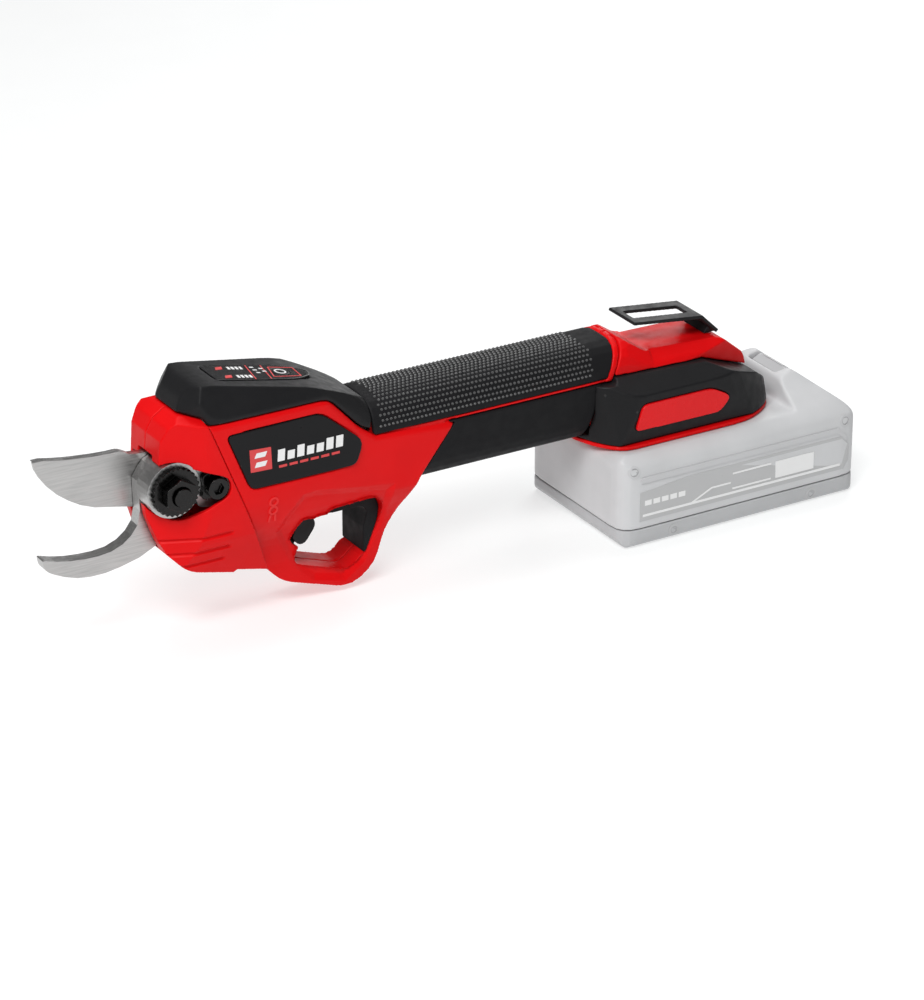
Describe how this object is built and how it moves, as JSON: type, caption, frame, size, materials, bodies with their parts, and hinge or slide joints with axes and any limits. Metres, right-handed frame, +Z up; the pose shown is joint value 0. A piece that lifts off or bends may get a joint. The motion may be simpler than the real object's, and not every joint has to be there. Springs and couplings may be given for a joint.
{
  "type": "battery electric pruner",
  "caption": "Hand-held battery pruner with a fixed hook blade, a gear-driven cutting blade, a trigger in a finger loop and a slide-on battery.",
  "frame": {"origin": "middle of the footprint, on the surface that the tool stands on", "axes": "+Z up, -X towards the blade tips, +X towards the battery, -Y the side with the pivot nut"},
  "size_m": [0.3868, 0.077, 0.1121],
  "materials": {
    "red_plastic": "satin moulded",
    "black_plastic": "fine texture",
    "soft_black": "raised dots",
    "blade_steel": "ground",
    "dark_steel": "black oxide",
    "motor_steel": "satin",
    "alloy": "die cast",
    "circuit_board": "solder mask",
    "contact_metal": "plated",
    "battery_grey": "satin moulded",
    "battery_dark": "satin moulded",
    "cell_wrap": "shrink wrap"
  },
  "bodies": {
    "tool": {"housing_left": "red_plastic", "housing_right": "red_plastic", "housing_screw_1": "dark_steel", "housing_screw_2": "dark_steel", "housing_screw_3": "dark_steel", "housing_screw_4": "dark_steel", "housing_screw_5": "dark_steel", "housing_screw_6": "dark_steel", "label_plate_left": "black_plastic", "label_plate_right": "black_plastic", "nose_cover_left": "red_plastic", "nose_cover_right": "red_plastic", "display_cover": "soft_black", "display_panel": "black_plastic", "display_board": "circuit_board", "button_switch": "circuit_board", "grip_top": "soft_black", "grip_lower_left": "black_plastic", "grip_lower_right": "black_plastic", "guard_pad": "soft_black", "tail_cover": "red_plastic", "foot_left": "black_plastic", "foot_right": "black_plastic", "foot_window_left": "red_plastic", "foot_window_right": "red_plastic", "foot_trim": "red_plastic", "belt_clip": "dark_steel", "motor": "motor_steel", "gearbox": "motor_steel", "pinion_bearing": "blade_steel", "drive_frame": "alloy", "hook_blade": "blade_steel", "pivot_bolt": "dark_steel", "pivot_nut": "dark_steel", "lock_disc": "dark_steel", "lock_plate": "dark_steel", "lock_screw": "dark_steel", "trigger_spring": "blade_steel", "trigger_switch": "circuit_board", "control_board": "circuit_board", "heat_sink": "alloy", "tool_terminals": "black_plastic", "contact_blade_1": "contact_metal", "contact_blade_2": "contact_metal"},
    "blade": {"cutting_blade": "blade_steel", "gear_sector": "blade_steel", "sector_pin_1": "blade_steel", "sector_pin_2": "blade_steel"},
    "pinion": {"drive_pinion": "blade_steel"},
    "trigger": {"trigger": "black_plastic"},
    "power_button": {"power_button": "black_plastic"},
    "battery": {"battery_case_upper": "battery_grey", "battery_case_lower": "battery_dark", "battery_cell_1": "cell_wrap", "battery_cell_2": "cell_wrap", "battery_cell_3": "cell_wrap", "battery_cell_4": "cell_wrap", "battery_cell_5": "cell_wrap", "battery_board": "circuit_board"},
    "latch": {"latch_button": "battery_dark"}
  },
  "joints": [
    {"name": "blade_pivot", "type": "hinge", "parent": "tool", "child": "blade", "pos_m": [-0.1375, 0, 0.069], "axis": [0, -1, 0], "range_deg": [0, 40]},
    {"name": "pinion_spin", "type": "hinge", "parent": "tool", "child": "pinion", "pos_m": [-0.1125, 0, 0.069], "axis": [1, 0, 0], "range_deg": [-2, 162]},
    {"name": "trigger_press", "type": "slide", "parent": "tool", "child": "trigger", "axis": [-1, 0, 0], "range_m": [0, 0.0016], "stiffness_N_per_m": 900, "springref_m": -0.002, "deforming": ["trigger_spring"]},
    {"name": "power_button_press", "type": "slide", "parent": "tool", "child": "power_button", "axis": [0, 0, -1], "range_m": [0, 0.0008], "stiffness_N_per_m": 800, "springref_m": -0.0005},
    {"name": "battery_slide", "type": "slide", "parent": "tool", "child": "battery", "axis": [1, 0, 0], "range_m": [0, 0.11]},
    {"name": "latch_press", "type": "slide", "parent": "battery", "child": "latch", "axis": [0, 0, -1], "range_m": [0, 0.002], "stiffness_N_per_m": 1200, "springref_m": -0.001}
  ],
  "couplings": [
    {"joint": "pinion_spin", "follows": "blade_pivot", "ratio": 4}
  ]
}
